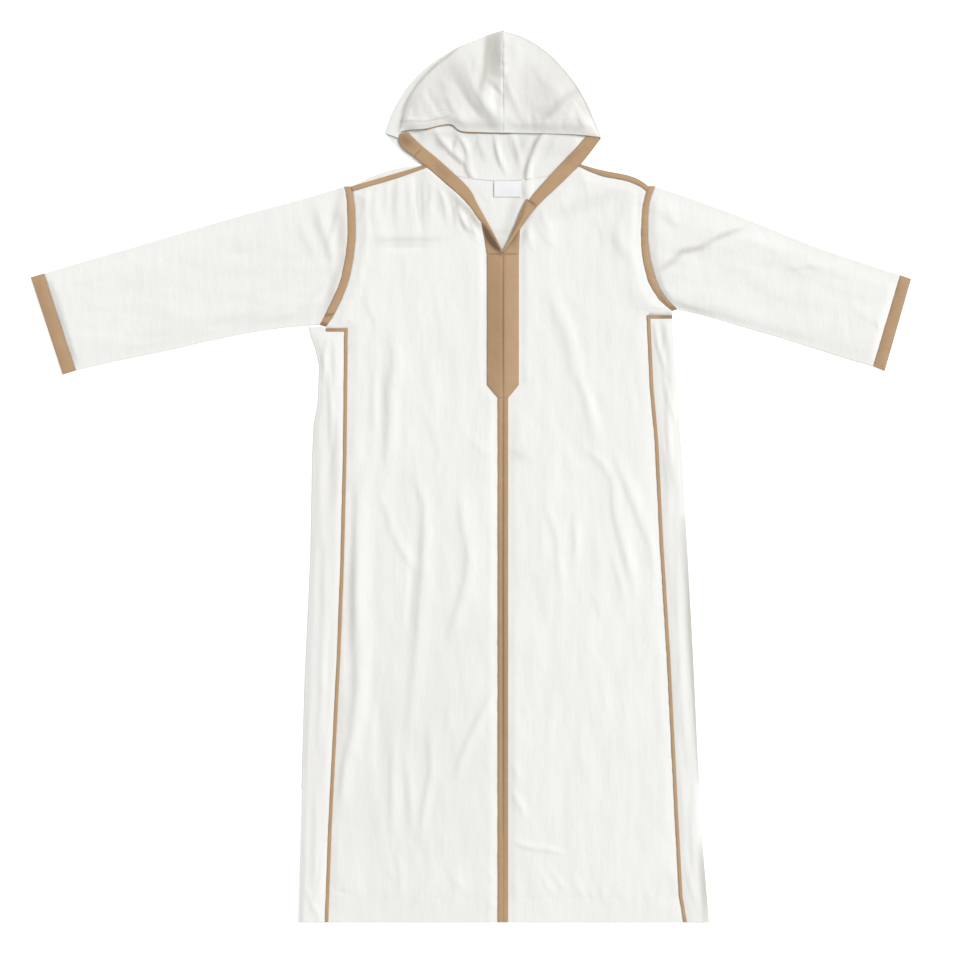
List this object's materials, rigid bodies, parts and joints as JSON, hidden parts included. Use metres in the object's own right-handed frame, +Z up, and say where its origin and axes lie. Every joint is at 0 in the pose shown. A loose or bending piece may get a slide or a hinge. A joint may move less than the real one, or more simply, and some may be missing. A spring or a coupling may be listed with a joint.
{
  "type": "hooded djellaba laid flat",
  "caption": "Long hooded robe of off-white cloth with tan trim, laid flat with its front up and its hood folded down over the neck.",
  "frame": {"origin": "middle of the underside, on the surface that the robe lies on", "axes": "+Y from the hem to the hood, +Z up through the front of the robe, +X to the viewer's right"},
  "size_m": [1.628, 1.65, 0.015],
  "materials": {
    "cloth": "matte plain weave, off-white",
    "trim": "soft satin weave, tan",
    "label": "woven label, white and blank"
  },
  "bodies": {
    "root": {"back_panel": "cloth", "front_left": "cloth", "front_right": "cloth", "gore_left": "cloth", "gore_right": "cloth", "sleeve_left": "cloth", "sleeve_right": "cloth", "hood_left": "cloth", "hood_right": "cloth", "cuff_left": "trim", "cuff_right": "trim", "armhole_band_left": "trim", "armhole_band_right": "trim", "shoulder_tape_left": "trim", "shoulder_tape_right": "trim", "neck_band_left": "trim", "neck_band_right": "trim", "placket_left": "trim", "placket_right": "trim", "centre_band_left": "trim", "centre_band_right": "trim", "piping_left": "trim", "piping_right": "trim", "hood_edge_band": "trim", "neck_label": "label"}
  },
  "joints": []
}
